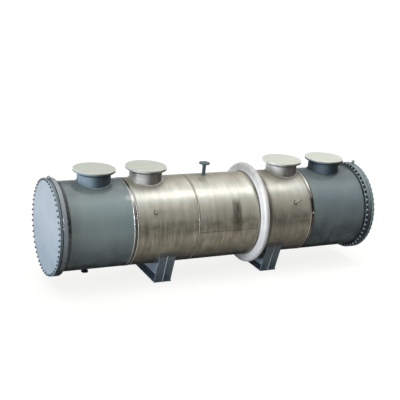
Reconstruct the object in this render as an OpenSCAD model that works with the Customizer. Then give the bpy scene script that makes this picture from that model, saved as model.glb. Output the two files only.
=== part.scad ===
// Acid cooler: a horizontal shell-and-tube vessel on two saddles.
// +X runs along the vessel, +Z is up, and the origin is on the floor
// under the middle of the vessel. The instrument couplings face -Y.

/* [Shell] */
// Outer diameter of the shell and of the two channels
shell_od = 1420; // [1200:10:1800]
// Plate thickness of the shell and of the channels
shell_wall = 10; // [6:1:20]
// Clear height from the floor to the underside of the shell
clear_height = 240; // [200:5:400]
// Length of the shell course beside the left tube sheet
left_course_length = 1048; // [850:1:1600]
// Length of the shell course between the round seam and the bellows
middle_course_length = 1081; // [600:1:2000]
// Length of the shell course beside the right tube sheet
right_course_length = 833; // [680:1:1600]
// Thickness of the tube sheets
tube_sheet_thickness = 56; // [30:1:100]

/* [Bellows] */
// Height of the bellows' wave above the shell
wave_height = 145; // [100:1:220]
// Outer radius of the round crest of the wave
crest_radius = 50; // [30:1:70]
// Outer radius where the side of the wave turns into the cuff
root_radius = 30; // [12:1:45]
// Plate thickness of the bellows
bellows_wall = 8; // [4:1:12]
// Length of each straight cuff that is welded to the shell
cuff_length = 10; // [5:1:60]

/* [Channels] */
// Length of each channel from the tube sheet to its flange
channel_length = 1081; // [900:1:1500]
// How far the channel flange stands out beyond the channel
channel_flange_rim = 60; // [50:1:110]
// Thickness of the channel flange at its rim
channel_flange_thickness = 66; // [40:1:100]
// Thickness of the flat cover at its rim
channel_cover_thickness = 46; // [30:1:90]
// Height of the raised facing on the flange and on the cover
facing_height = 3; // [1:0.5:8]
// Width of the raised facing and of the gasket, outwards from the bore
facing_width = 18; // [12:1:30]
// Thickness of the cover gasket
gasket_thickness = 4; // [2:0.5:8]

/* [Lifting lugs] */
// Radius of the round head of the lug
lug_radius = 26; // [20:1:40]
// Diameter of the eye through the lug
lug_eye_d = 26; // [16:1:34]
// Thickness of the lug plate
lug_thickness = 20; // [10:1:40]
// Height of the eye's centre above the rim of the cover
lug_height = 32; // [20:1:80]

/* [Nozzles] */
// Outer diameter of the large nozzle pipes
nozzle_pipe_od = 530; // [400:2:600]
// Wall of the large nozzle pipes
nozzle_pipe_wall = 10; // [6:1:16]
// Height of the nozzle pipe above the crest of the shell
nozzle_neck_height = 163; // [100:1:300]
// How far the nozzle flange stands out beyond the pipe
nozzle_flange_rim = 70; // [50:1:120]
// Thickness of the nozzle flange
nozzle_flange_thickness = 25; // [16:1:60]
// Thickness of the blank cover on the nozzle flange
nozzle_cover_thickness = 18; // [6:1:40]
// Gap from the left tube sheet to the left water nozzle's pipe
left_water_gap = 192; // [140:1:300]
// Gap from the left tube sheet to the left acid nozzle's pipe
left_acid_gap = 92; // [20:1:200]
// Gap from the right tube sheet to the right acid nozzle's pipe
right_acid_gap = 2; // [2:1:120]
// Gap from the right tube sheet to the right water nozzle's pipe
right_water_gap = 275; // [180:1:370]

/* [Vent and drain] */
// Distance from the round seam to the vent
vent_offset = 346; // [150:1:450]
// Outer diameter of the vent pipe
vent_pipe_od = 60; // [30:1:100]
// Height of the vent pipe above the crest of the shell
vent_neck_height = 187; // [100:1:300]
// How far the vent flange stands out beyond its pipe
vent_flange_rim = 60; // [30:1:90]
// Distance from the left tube sheet to the drain
drain_offset = 545; // [200:1:800]
// Outer diameter of the drain pipe
drain_pipe_od = 48; // [25:1:80]
// Length of the drain pipe below the channel
drain_neck_height = 78; // [60:1:140]
// How far the drain flange stands out beyond its pipe
drain_flange_rim = 34; // [25:1:70]
// Wall of the vent and drain pipes
small_pipe_wall = 5; // [3:0.5:8]
// Thickness of the vent and drain flanges
small_flange_thickness = 14; // [8:1:24]
// Thickness of the blank covers on the vent and the drain
small_cover_thickness = 8; // [6:1:20]

/* [Instrument couplings] */
// Distance from the left tube sheet to the left coupling
left_coupling_offset = 307; // [100:1:600]
// Distance from the right tube sheet to the right coupling
right_coupling_offset = 289; // [100:1:500]
// Angle of the couplings above the horizontal, on the front side
coupling_angle = 28; // [0:1:40]
// Outer diameter of the coupling
coupling_od = 42; // [30:1:60]
// Diameter of the hole through the coupling and the shell
coupling_bore = 26; // [12:1:28]
// Length of the coupling from the shell to its cap
coupling_length = 110; // [60:1:200]
// How far the weld collar stands out beyond the coupling
collar_rim = 11; // [4:1:20]
// Length of the weld collar
collar_length = 14; // [6:1:30]
// How far the corners of the hexagonal cap stand out beyond the coupling
cap_rim = 7; // [3:1:15]
// Length of the hexagonal cap
cap_length = 38; // [20:1:60]

/* [Saddles] */
// Gap from the left tube sheet to the left saddle
left_saddle_gap = 445; // [300:1:500]
// Gap from the bellows to the right saddle
right_saddle_gap = 113; // [20:1:250]
// Width of the saddles along the vessel
saddle_width = 300; // [240:5:360]
// Length of the base plate across the vessel
base_length = 840; // [700:5:900]
// Thickness of the base plate
base_thickness = 16; // [10:1:30]
// Thickness of the middle web
web_thickness = 14; // [8:1:24]
// Thickness of the ribs
rib_thickness = 12; // [8:1:20]
// Distance from the side of the base plate to the edge of the ribs
rib_inset = 6; // [0:1:25]
// Distance from the end of the base plate to the edge of the web
web_inset = 4; // [0:1:40]
// How far the edge of the web stands out of the end ribs
web_overhang = 8; // [4:1:40]
// Angle from straight down to the top of the end ribs
rib_angle = 50; // [42:1:54]
// Angle from straight down to the end of the wear plate
wear_plate_angle = 58; // [57:1:75]
// Thickness of the wear plate
wear_plate_thickness = 10; // [6:1:16]
// Spacing of the anchor holes along the vessel
anchor_spacing_x = 200; // [150:5:220]
// Spacing of the anchor holes across the vessel
anchor_spacing_y = 560; // [450:5:600]
// Diameter of the round anchor holes, and width of the slots
anchor_hole_d = 26; // [18:1:33]
// Length of the anchor slots in the base plate of the sliding saddle
anchor_slot_length = 60; // [40:1:80]

/* [Hidden] */
$fn = 240;
// Clearance between curved faces that are welded together
seat_gap = 0.3;
// How far a cutting shape reaches past what it cuts
cut_over = 5;

channel_grey = "#6C7778";
cover_blue = "#B9C5CE";
blank_pale = "#CCCEC4";
stainless = "#A39F90";
bellows_pale = "#CDCDD4";
saddle_blue = "#46525A";
gasket_dark = "#2B2C2C";

shell_r = shell_od / 2;
bore_r = shell_r - shell_wall;
seat_r = shell_r + seat_gap;
axis_z = clear_height + shell_r;

crest_centre_r = shell_r + wave_height - crest_radius;
root_centre_r = shell_r + root_radius;
root_x = crest_radius + root_radius;
bellows_length = 2 * (root_x + cuff_length);

// Stations along the vessel, from left to right
bundle_length = 2 * tube_sheet_thickness + left_course_length + middle_course_length
    + bellows_length + right_course_length;
joint_x = bundle_length / 2;
sheet_face_x = joint_x - tube_sheet_thickness;
seam_x = left_course_length - sheet_face_x;
bellows_left_x = seam_x + middle_course_length;
bellows_right_x = bellows_left_x + bellows_length;
flange_x = joint_x + channel_length;
flange_rim_x = flange_x + channel_flange_thickness;
flange_face_x = flange_rim_x + facing_height;
cover_face_x = flange_face_x + gasket_thickness;
cover_rim_x = cover_face_x + facing_height;
cover_out_x = cover_rim_x + channel_cover_thickness;

channel_flange_r = shell_r + channel_flange_rim;
facing_r = bore_r + facing_width;

nozzle_r = nozzle_pipe_od / 2;
nozzle_bore_r = nozzle_r - nozzle_pipe_wall;
left_water_x = -joint_x - left_water_gap - nozzle_r;
left_acid_x = -sheet_face_x + left_acid_gap + nozzle_r;
right_acid_x = sheet_face_x - right_acid_gap - nozzle_r;
right_water_x = joint_x + right_water_gap + nozzle_r;
vent_x = seam_x + vent_offset;
drain_x = -joint_x - drain_offset;
left_coupling_x = -sheet_face_x + left_coupling_offset;
right_coupling_x = sheet_face_x - right_coupling_offset;

left_saddle_x = -sheet_face_x + left_saddle_gap + saddle_width / 2;
right_saddle_x = bellows_right_x + right_saddle_gap + saddle_width / 2;
rib_reach = saddle_width / 2 - rib_inset - web_thickness / 2;

// Outline of a saddle's end, in the YZ plane with the vessel's axis at [0, 0]
saddle_r = seat_r + wear_plate_thickness + seat_gap;
web_foot_y = base_length / 2 - web_inset;
rib_foot_y = web_foot_y - web_overhang;
foot_z = base_thickness - axis_z;
rib_top = saddle_r * [sin(rib_angle), -cos(rib_angle)];
rib_run = rib_top - [rib_foot_y, foot_z];
rib_dir = rib_run / norm(rib_run);
rib_slice = rib_thickness / rib_dir[1];

// Point on the slope of the end ribs that starts at y on the base plate,
// just inside the circle that the ribs and the web are cut to
function slope_top(y) =
    let (foot = [y, foot_z],
         along = foot * rib_dir,
         reach = -along - sqrt(along * along - foot * foot + saddle_r * saddle_r))
    foot + (reach + cut_over) * rib_dir;

// Shapes that repeat

// Round bar along X from one station to another, on the vessel's axis
module along(x0, x1, r) {
    translate([x0, 0, axis_z]) rotate([0, 90, 0]) cylinder(h = x1 - x0, r = r);
}

// Plate ring along X from one station to another
module ring(x0, x1, r_out, r_in) {
    difference() {
        along(x0, x1, r_out);
        along(x0 - cut_over, x1 + cut_over, r_in);
    }
}

// Whole vessel's outside, as the shape that what is welded on it is cut to
module vessel_cut(r) {
    along(-flange_x, flange_x, r);
}

// Round bar that stands up from the vessel's axis
module upright(x, r, top) {
    translate([x, 0, axis_z]) cylinder(h = top, r = r);
}

// Round bar that runs out of the vessel's axis to the couplings
module radial(x, r, top, sides = $fn) {
    translate([x, 0, axis_z]) rotate([90 - coupling_angle, 0, 0]) cylinder(h = top, r = r, $fn = sides);
}

// Mirror of the left end, for the right end
module right_end() {
    mirror([1, 0, 0]) children();
}

module channel_flange() {
    difference() {
        union() {
            along(-flange_rim_x, -flange_x, channel_flange_r);
            along(-flange_face_x, -flange_x, facing_r);
        }
        along(-flange_face_x - cut_over, -flange_x + cut_over, bore_r);
    }
}

module channel_cover() {
    along(-cover_out_x, -cover_rim_x, channel_flange_r);
    along(-cover_out_x, -cover_face_x, facing_r);
}

module lifting_lug() {
    eye_z = axis_z + channel_flange_r + lug_height;
    lug_x = (cover_out_x + cover_rim_x) / 2;
    difference() {
        translate([-lug_x, lug_thickness / 2, 0]) rotate([90, 0, 0]) linear_extrude(lug_thickness) {
            translate([0, eye_z]) circle(lug_radius);
            translate([-lug_radius, axis_z]) square([2 * lug_radius, eye_z - axis_z]);
        }
        translate([-lug_x, 0, eye_z]) rotate([90, 0, 0])
            cylinder(h = lug_thickness + 2 * cut_over, d = lug_eye_d, center = true);
        along(-lug_x - lug_radius - cut_over, -lug_x + lug_radius + cut_over, channel_flange_r + seat_gap);
    }
}

// Pipe that stands on the vessel at x
module neck(x, pipe_r, wall, height) {
    difference() {
        upright(x, pipe_r, shell_r + height);
        upright(x, pipe_r - wall, shell_r + height + cut_over);
        vessel_cut(seat_r);
    }
}

// Ring flange on top of a pipe, and the blank on top of that flange
module pipe_flange(x, pipe_r, wall, height, rim, thickness) {
    translate([x, 0, axis_z + shell_r + height]) difference() {
        cylinder(h = thickness, r = pipe_r + rim);
        translate([0, 0, -cut_over]) cylinder(h = thickness + 2 * cut_over, r = pipe_r - wall);
    }
}

module pipe_blank(x, pipe_r, height, rim, thickness) {
    translate([x, 0, axis_z + shell_r + height]) cylinder(h = thickness, r = pipe_r + rim);
}

// Turns what stands on the vessel upside down, to hang below it
module hanging() {
    translate([0, 0, 2 * axis_z]) mirror([0, 0, 1]) children();
}

module nozzle_neck(x) {
    neck(x, nozzle_r, nozzle_pipe_wall, nozzle_neck_height);
}

module nozzle_flange(x) {
    pipe_flange(x, nozzle_r, nozzle_pipe_wall, nozzle_neck_height, nozzle_flange_rim, nozzle_flange_thickness);
}

module nozzle_blank(x) {
    pipe_blank(x, nozzle_r, nozzle_neck_height + nozzle_flange_thickness, nozzle_flange_rim,
               nozzle_cover_thickness);
}

module instrument_coupling(x) {
    difference() {
        union() {
            radial(x, coupling_od / 2, shell_r + coupling_length + cut_over);
            radial(x, coupling_od / 2 + collar_rim, shell_r + collar_length);
            intersection() {
                radial(x, coupling_od / 2 + cap_rim, shell_r + coupling_length + cap_length, 6);
                difference() {
                    radial(x, coupling_od + cap_rim, shell_r + coupling_length + cap_length);
                    radial(x, coupling_od + cap_rim, shell_r + coupling_length);
                }
            }
        }
        radial(x, coupling_bore / 2, shell_r + coupling_length);
        vessel_cut(seat_r);
    }
}

// Half section of the bellows, inset from its outer face
module wave_section(inset) {
    cuff_half = bellows_length / 2 + inset;
    translate([0, -cuff_half]) square([shell_r - inset, 2 * cuff_half]);
    translate([0, inset - crest_radius]) square([crest_centre_r, 2 * (crest_radius - inset)]);
    translate([crest_centre_r, 0]) circle(crest_radius - inset);
    difference() {
        translate([0, -root_x]) square([root_centre_r, 2 * root_x]);
        for (side = [-1, 1]) translate([root_centre_r, side * root_x]) circle(root_radius + inset);
    }
}

module saddle_base(x, slot) {
    difference() {
        translate([x - saddle_width / 2, -base_length / 2, 0]) cube([saddle_width, base_length, base_thickness]);
        for (side_x = [-1, 1], side_y = [-1, 1])
            translate([x + side_x * anchor_spacing_x / 2, side_y * anchor_spacing_y / 2, -cut_over])
                anchor_hole(base_thickness + 2 * cut_over, slot);
    }
}

// Round hole, or a slot along the vessel where the length is over the width
module anchor_hole(height, length) {
    run = length - anchor_hole_d;
    for (end = [-1, 1]) translate([end * run / 2, 0, 0]) cylinder(h = height, d = anchor_hole_d);
    if (run > 0) translate([-run / 2, -anchor_hole_d / 2, 0]) cube([run, anchor_hole_d, height]);
}

// Sheet in the YZ plane, pushed along X, with the vessel's seat cut out of it
module seated_sheet(x0, x1, points) {
    difference() {
        translate([x0, 0, axis_z]) rotate([90, 0, 90]) linear_extrude(x1 - x0) polygon(points);
        along(x0 - cut_over, x1 + cut_over, saddle_r);
    }
}

module saddle_web(x) {
    top = slope_top(web_foot_y);
    seated_sheet(x - web_thickness / 2, x + web_thickness / 2,
                 [[-web_foot_y, foot_z], [web_foot_y, foot_z], top, [-top[0], top[1]]]);
}

module saddle_ribs(x) {
    top = slope_top(rib_foot_y);
    slice = [rib_slice, 0];
    foot = [rib_foot_y, foot_z];
    for (start = [x - web_thickness / 2 - rib_reach, x + web_thickness / 2], side = [0, 1])
        mirror([0, side, 0])
            seated_sheet(start, start + rib_reach, [foot - slice, foot, top, top - slice]);
}

module saddle_wear_plate(x) {
    translate([x, 0, axis_z]) rotate([0, 90, 0]) rotate([0, 0, -wear_plate_angle])
        rotate_extrude(angle = 2 * wear_plate_angle)
            translate([seat_r, -saddle_width / 2]) square([wear_plate_thickness, saddle_width]);
}

// Channels and their covers

module left_channel_cover() { color(cover_blue) channel_cover(); }
module right_channel_cover() { color(cover_blue) right_end() channel_cover(); }

module left_cover_gasket() { color(gasket_dark) ring(-cover_face_x, -flange_face_x, facing_r, bore_r); }
module right_cover_gasket() { color(gasket_dark) ring(flange_face_x, cover_face_x, facing_r, bore_r); }

module left_channel_flange() { color(channel_grey) channel_flange(); }
module right_channel_flange() { color(channel_grey) right_end() channel_flange(); }

module left_channel() {
    color(channel_grey) difference() {
        ring(-flange_x, -joint_x, shell_r, bore_r);
        upright(left_water_x, nozzle_bore_r, shell_od);
        hanging() upright(drain_x, drain_pipe_od / 2 - small_pipe_wall, shell_od);
    }
}

module right_channel() {
    color(channel_grey) difference() {
        ring(joint_x, flange_x, shell_r, bore_r);
        upright(right_water_x, nozzle_bore_r, shell_od);
    }
}

module left_lifting_lug() { color(channel_grey) lifting_lug(); }
module right_lifting_lug() { color(channel_grey) right_end() lifting_lug(); }

// Shell

module left_tube_sheet() { color(stainless) along(-joint_x, -sheet_face_x, shell_r); }
module right_tube_sheet() { color(stainless) along(sheet_face_x, joint_x, shell_r); }

module left_shell_course() {
    color(stainless) difference() {
        ring(-sheet_face_x, seam_x, shell_r, bore_r);
        upright(left_acid_x, nozzle_bore_r, shell_od);
        radial(left_coupling_x, coupling_bore / 2, shell_od);
    }
}

module middle_shell_course() {
    color(stainless) difference() {
        ring(seam_x, bellows_left_x, shell_r, bore_r);
        upright(vent_x, vent_pipe_od / 2 - small_pipe_wall, shell_od);
    }
}

module right_shell_course() {
    color(stainless) difference() {
        ring(bellows_right_x, sheet_face_x, shell_r, bore_r);
        upright(right_acid_x, nozzle_bore_r, shell_od);
        radial(right_coupling_x, coupling_bore / 2, shell_od);
    }
}

module expansion_bellows() {
    color(bellows_pale) translate([(bellows_left_x + bellows_right_x) / 2, 0, axis_z]) rotate([0, 90, 0])
        rotate_extrude() difference() {
            wave_section(0);
            wave_section(bellows_wall);
        }
}

// Nozzles

module left_water_neck() { color(channel_grey) nozzle_neck(left_water_x); }
module left_water_flange() { color(channel_grey) nozzle_flange(left_water_x); }
module left_water_blank() { color(blank_pale) nozzle_blank(left_water_x); }

module left_acid_neck() { color(stainless) nozzle_neck(left_acid_x); }
module left_acid_flange() { color(stainless) nozzle_flange(left_acid_x); }
module left_acid_blank() { color(blank_pale) nozzle_blank(left_acid_x); }

module right_acid_neck() { color(stainless) nozzle_neck(right_acid_x); }
module right_acid_flange() { color(stainless) nozzle_flange(right_acid_x); }
module right_acid_blank() { color(blank_pale) nozzle_blank(right_acid_x); }

module right_water_neck() { color(channel_grey) nozzle_neck(right_water_x); }
module right_water_flange() { color(channel_grey) nozzle_flange(right_water_x); }
module right_water_blank() { color(blank_pale) nozzle_blank(right_water_x); }

// Vent, drain and instrument couplings

module vent_neck() { color(channel_grey) neck(vent_x, vent_pipe_od / 2, small_pipe_wall, vent_neck_height); }

module vent_flange() {
    color(channel_grey) pipe_flange(vent_x, vent_pipe_od / 2, small_pipe_wall, vent_neck_height,
                                    vent_flange_rim, small_flange_thickness);
}

module vent_blank() {
    color(channel_grey) pipe_blank(vent_x, vent_pipe_od / 2, vent_neck_height + small_flange_thickness,
                                   vent_flange_rim, small_cover_thickness);
}

module drain_neck() {
    color(channel_grey) hanging() neck(drain_x, drain_pipe_od / 2, small_pipe_wall, drain_neck_height);
}

module drain_flange() {
    color(channel_grey) hanging() pipe_flange(drain_x, drain_pipe_od / 2, small_pipe_wall, drain_neck_height,
                                              drain_flange_rim, small_flange_thickness);
}

module drain_blank() {
    color(channel_grey) hanging() pipe_blank(drain_x, drain_pipe_od / 2,
                                             drain_neck_height + small_flange_thickness,
                                             drain_flange_rim, small_cover_thickness);
}

module left_instrument_coupling() { color(stainless) instrument_coupling(left_coupling_x); }
module right_instrument_coupling() { color(stainless) instrument_coupling(right_coupling_x); }

// Saddles: the left one is fixed and the right one slides on slotted holes

module left_saddle_base() { color(saddle_blue) saddle_base(left_saddle_x, anchor_hole_d); }
module left_saddle_web() { color(saddle_blue) saddle_web(left_saddle_x); }
module left_saddle_ribs() { color(saddle_blue) saddle_ribs(left_saddle_x); }
module left_saddle_wear_plate() { color(saddle_blue) saddle_wear_plate(left_saddle_x); }

module right_saddle_base() { color(saddle_blue) saddle_base(right_saddle_x, anchor_slot_length); }
module right_saddle_web() { color(saddle_blue) saddle_web(right_saddle_x); }
module right_saddle_ribs() { color(saddle_blue) saddle_ribs(right_saddle_x); }
module right_saddle_wear_plate() { color(saddle_blue) saddle_wear_plate(right_saddle_x); }

left_channel_cover();
right_channel_cover();
left_cover_gasket();
right_cover_gasket();
left_channel_flange();
right_channel_flange();
left_channel();
right_channel();
left_lifting_lug();
right_lifting_lug();
left_tube_sheet();
right_tube_sheet();
left_shell_course();
middle_shell_course();
right_shell_course();
expansion_bellows();
left_water_neck();
left_water_flange();
left_water_blank();
left_acid_neck();
left_acid_flange();
left_acid_blank();
right_acid_neck();
right_acid_flange();
right_acid_blank();
right_water_neck();
right_water_flange();
right_water_blank();
vent_neck();
vent_flange();
vent_blank();
drain_neck();
drain_flange();
drain_blank();
left_instrument_coupling();
right_instrument_coupling();
left_saddle_base();
left_saddle_web();
left_saddle_ribs();
left_saddle_wear_plate();
right_saddle_base();
right_saddle_web();
right_saddle_ribs();
right_saddle_wear_plate();
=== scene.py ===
"""Acid cooler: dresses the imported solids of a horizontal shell-and-tube cooler and lights them."""
import logging
import math
from dataclasses import dataclass, replace
from enum import Enum
from typing import Sequence

import bpy
import numpy as np
from mathutils import Matrix, Vector


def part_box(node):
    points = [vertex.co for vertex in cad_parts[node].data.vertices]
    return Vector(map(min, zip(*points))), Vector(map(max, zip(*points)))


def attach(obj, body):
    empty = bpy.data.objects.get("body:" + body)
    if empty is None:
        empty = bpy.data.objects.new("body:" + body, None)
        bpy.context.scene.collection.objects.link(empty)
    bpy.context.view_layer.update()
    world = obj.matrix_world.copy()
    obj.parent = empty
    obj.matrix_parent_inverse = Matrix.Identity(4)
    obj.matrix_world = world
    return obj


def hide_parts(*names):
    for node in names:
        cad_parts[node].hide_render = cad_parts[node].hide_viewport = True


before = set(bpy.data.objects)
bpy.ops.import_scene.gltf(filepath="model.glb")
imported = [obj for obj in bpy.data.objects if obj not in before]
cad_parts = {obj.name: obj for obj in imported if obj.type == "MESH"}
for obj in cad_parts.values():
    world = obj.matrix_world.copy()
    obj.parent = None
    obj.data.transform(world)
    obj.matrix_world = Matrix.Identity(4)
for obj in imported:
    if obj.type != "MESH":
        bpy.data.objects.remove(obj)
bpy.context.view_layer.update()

LOG = logging.getLogger("acid_cooler")
BODY = "root"
MM = 0.001
SEED = 7

Mesh = bpy.types.Mesh
Tree = bpy.types.NodeTree
Socket = bpy.types.NodeSocket
Outputs = bpy.types.NodeOutputs
Point = tuple[float, float]
Spot = Sequence[float]
Path = tuple[np.ndarray, bool]


class End(Enum):
    """End of the vessel, with the sign of its X."""

    LEFT = -1
    RIGHT = 1

    @property
    def word(self) -> str:
        """Word that starts the names of this end's nodes."""
        return self.name.lower()


class Axis(Enum):
    """Axis of the part's frame, with its place in a vector."""

    X = 0
    Y = 1
    Z = 2


def linear(code: str) -> tuple[float, float, float, float]:
    """Turns an sRGB colour into the linear colour that shaders take.

    Args:
        code: sRGB colour as #RRGGBB.

    Returns:
        Linear red, green and blue, with an alpha of 1.
    """
    parts = [int(code[i:i + 2], 16) / 255 for i in (1, 3, 5)]
    red, green, blue = (p / 12.92 if p <= 0.04045 else ((p + 0.055) / 1.055) ** 2.4 for p in parts)
    return red, green, blue, 1.0


def add_node(tree: Tree, kind: str, inputs: dict | None = None, **settings: object) -> Outputs:
    """Adds one node with its settings and links.

    Args:
        tree: node tree that gets the node.
        kind: Blender's name for the node.
        inputs: value, or socket to link from, for each input by name or number.
        settings: the node's own attributes.

    Returns:
        The new node's outputs.
    """
    node = tree.nodes.new(kind)
    for name, value in settings.items():
        setattr(node, name, value)
    for key, value in (inputs or {}).items():
        if isinstance(value, Socket):
            tree.links.new(value, node.inputs[key])
        else:
            node.inputs[key].default_value = value
    return node.outputs


def product(tree: Tree, values: Sequence[Socket | float]) -> Socket:
    """Multiplies masks with each other and with plain factors.

    Args:
        tree: node tree of the masks.
        values: masks and factors, of which the first is a mask.

    Returns:
        Socket with the product.
    """
    result = values[0]
    for value in values[1:]:
        result = add_node(tree, "ShaderNodeMath", {0: result, 1: value}, operation="MULTIPLY")[0]
    return result


@dataclass
class Surface:
    """Material in the making, laid up colour over colour.

    Attributes:
        tree: the material's node tree.
        shader: its Principled shader.
    """

    tree: Tree
    shader: bpy.types.Node

    def mottle(self, size_mm: Spot, low: float, high: float, detail: float = 3.0,
               spread: float = 0.2) -> Socket:
        """Makes a cloudy pattern of spots with a real size.

        Args:
            size_mm: size of the spots along X, Y and Z.
            low: value of the darkest spots.
            high: value of the brightest spots.
            detail: how many finer layers the pattern has.
            spread: half of the noise's range that is stretched to the two values.

        Returns:
            Socket with the pattern's value.
        """
        place = add_node(self.tree, "ShaderNodeTexCoord")["Object"]
        scale = [1 / (size * MM) for size in size_mm]
        scaled = add_node(self.tree, "ShaderNodeMapping", {"Vector": place, "Scale": scale})[0]
        layers = {"Vector": scaled, "Scale": 1.0, "Detail": detail}
        noise = add_node(self.tree, "ShaderNodeTexNoise", layers)[0]
        levels = {"Value": noise, "From Min": 0.5 - spread, "From Max": 0.5 + spread,
                  "To Min": low, "To Max": high}
        return add_node(self.tree, "ShaderNodeMapRange", levels)[0]

    def fade(self, axis: Axis, start: float, end: float, about: float | None = None) -> Socket:
        """Makes a mask that runs smoothly from 0 to 1 along an axis.

        Args:
            axis: axis that the mask runs along.
            start: place where the mask is 0, in metres.
            end: place where the mask is 1, in metres.
            about: where given, the places are distances from this one, to both sides.

        Returns:
            Socket with the mask's value.
        """
        place = add_node(self.tree, "ShaderNodeTexCoord")["Object"]
        along = add_node(self.tree, "ShaderNodeSeparateXYZ", {0: place})[axis.value]
        if about is not None:
            offset = add_node(self.tree, "ShaderNodeMath", {0: along, 1: about}, operation="SUBTRACT")[0]
            along = add_node(self.tree, "ShaderNodeMath", {0: offset}, operation="ABSOLUTE")[0]
        levels = {"Value": along, "From Min": start, "From Max": end}
        return add_node(self.tree, "ShaderNodeMapRange", levels, interpolation_type="SMOOTHSTEP")[0]

    def patch(self, size_mm: Spot, low: float, high: float, *fades: tuple, **noise: float) -> Socket:
        """Makes the mask of an uneven patch: a mottle that fades away along axes.

        Args:
            size_mm: size of the mottle's spots.
            low: value of its darkest spots.
            high: value of its brightest spots.
            fades: what each fade is made of.
            noise: further settings of the mottle.

        Returns:
            Socket with the mask's value.
        """
        mottle = self.mottle(size_mm, low, high, **noise)
        return product(self.tree, [self.fade(*run) for run in fades] + [mottle])

    def lay(self, colour: str | Socket, mask: Socket | float, blend: str = "MIX") -> None:
        """Lays a colour over the shader's base colour.

        Args:
            colour: the colour, or a socket that gives it.
            mask: how much of it shows.
            blend: Blender's name for the way that it is mixed in.
        """
        base = self.shader.inputs["Base Color"]
        below = base.links[0].from_socket if base.links else base.default_value[:]
        above = linear(colour) if isinstance(colour, str) else colour
        inputs = {0: mask, 6: below, 7: above}
        mixed = add_node(self.tree, "ShaderNodeMix", inputs, data_type="RGBA", blend_type=blend)
        self.link("Base Color", mixed[2])

    def link(self, name: str, source: Socket) -> None:
        """Links a socket to one of the shader's inputs."""
        self.tree.links.new(source, self.shader.inputs[name])

    def vary(self, name: str, mask: Socket, slope: float, start: Socket | float) -> None:
        """Drives one of the shader's inputs by a mask times a slope, plus a start."""
        inputs = {0: mask, 1: slope, 2: start}
        value = add_node(self.tree, "ShaderNodeMath", inputs, operation="MULTIPLY_ADD", use_clamp=True)
        self.link(name, value[0])

    def bump(self, height: Socket, strength: float, depth: float) -> None:
        """Raises the surface by a pattern with a depth in metres."""
        inputs = {"Height": height, "Strength": strength, "Distance": depth}
        self.link("Normal", add_node(self.tree, "ShaderNodeBump", inputs)[0])

    def fix(self, values: dict[str, object]) -> None:
        """Sets inputs of the shader to plain values."""
        for name, value in values.items():
            self.shader.inputs[name].default_value = value

    def soil_belly(self) -> None:
        """Lays painted shade, near-black, on the vessel's underside over the colour and the gloss."""
        dirt = self.patch((90, 260, 160), 0.75, 1.0, (Axis.Z, 0.52, 0.37))
        self.lay("#141412", dirt)
        self.vary("Roughness", dirt, 0.5, self.shader.inputs["Roughness"].links[0].from_socket)


@dataclass(frozen=True)
class Finish:
    """What every finish has.

    Attributes:
        name: the material's name, which says what the real one is.
        slot: material slot that the finish belongs to; not used.
    """

    name: str
    slot: str

    def material(self) -> bpy.types.Material:
        """Makes the material once, and returns the same one afterwards."""
        made = bpy.data.materials.get(self.name)
        if made is None:
            made = bpy.data.materials.new(self.name)
            made.use_nodes = True
            made.node_tree.nodes.clear()
            shader = add_node(made.node_tree, "ShaderNodeBsdfPrincipled")[0]
            add_node(made.node_tree, "ShaderNodeOutputMaterial", {"Surface": shader})
            self.wire(Surface(made.node_tree, shader.node))
        return made

    def wire(self, on: Surface) -> None:
        """Gives a surface the finish's look."""
        raise NotImplementedError


@dataclass(frozen=True)
class SatinPaint(Finish):
    """Two-pack paint, sprayed on plate. It gives even colour with slow clouds, dust and a soft gloss.

    Attributes:
        colour: paint where it is clean.
        cloud: paint where the spray lay thinner or dust dulls it.
        film: colour of the film towards the lower side: dust, and painted shade of the lower side.
        clean_z: height above which there is no film.
        film_z: height below which the film is whole.
        streak_mm: size of the marks that the tool or the weather left.
        streak: how much the marks darken.
        rough: middle value of the roughness.
        coat: share of the glossy top layer.
        corner: where given, distance from the vessel's middle at which the painted shade beside a flange is
            whole.
        crown: how much darker the crown of the vessel is.
        belly: whether the underside of the vessel is painted dark as shade.
    """

    colour: str
    cloud: str
    film: str
    clean_z: float = 1.2
    film_z: float = 0.3
    streak_mm: Spot = (40.0, 420.0, 420.0)
    streak: float = 0.08
    rough: float = 0.4
    coat: float = 0.45
    corner: float | None = None
    crown: float = 0.0
    belly: bool = False

    def wire(self, on: Surface) -> None:
        """Lays clouds, the lower film of dust and painted shade, a darker crown, painted shade beside a
        flange and marks over the paint's colour.

        Args:
            on: surface that gets the look.
        """
        on.fix({"Base Color": linear(self.colour), "IOR": 1.5, "Specular IOR Level": 0.2,
                "Coat Roughness": 0.12})
        on.lay(self.cloud, on.mottle((380, 380, 380), 0.0, 1.0))
        # The film darkens the colour towards the bottom: dust, and painted shade of the lower side
        low = on.patch((150, 150, 220), 0.55, 1.0, (Axis.Z, self.clean_z, self.film_z))
        on.lay(self.film, low)
        if self.crown:
            dust = (0.7 * self.crown, self.crown)
            on.lay("#3B4241", on.patch((160, 160, 160), *dust, (Axis.Z, 1.46, 1.62)))
        # Painted shade in the corner beside the flange
        if self.corner is not None:
            beside = (Axis.X, self.corner - 22 * MM, self.corner, 0.0)
            on.lay("#0E1111", on.patch((60, 60, 60), 0.8, 1.0, beside))
        on.lay(on.mottle(self.streak_mm, 1 - self.streak, 1 + 0.5 * self.streak, detail=4), 1.0, "MULTIPLY")
        # The film is dry, so it takes the gloss away
        on.vary("Roughness", low, 0.3, on.mottle((120, 120, 120), self.rough - 0.05, self.rough + 0.07))
        on.vary("Coat Weight", low, -self.coat, self.coat)
        # Orange peel of sprayed paint is about 3 mm across; drawn at 7 mm so that it shows at all
        on.bump(on.mottle((7, 7, 7), 0.0, 1.0, detail=1), 0.06, 0.4 * MM)
        # The underside is painted near-black as shade
        if self.belly:
            on.soil_belly()


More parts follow.
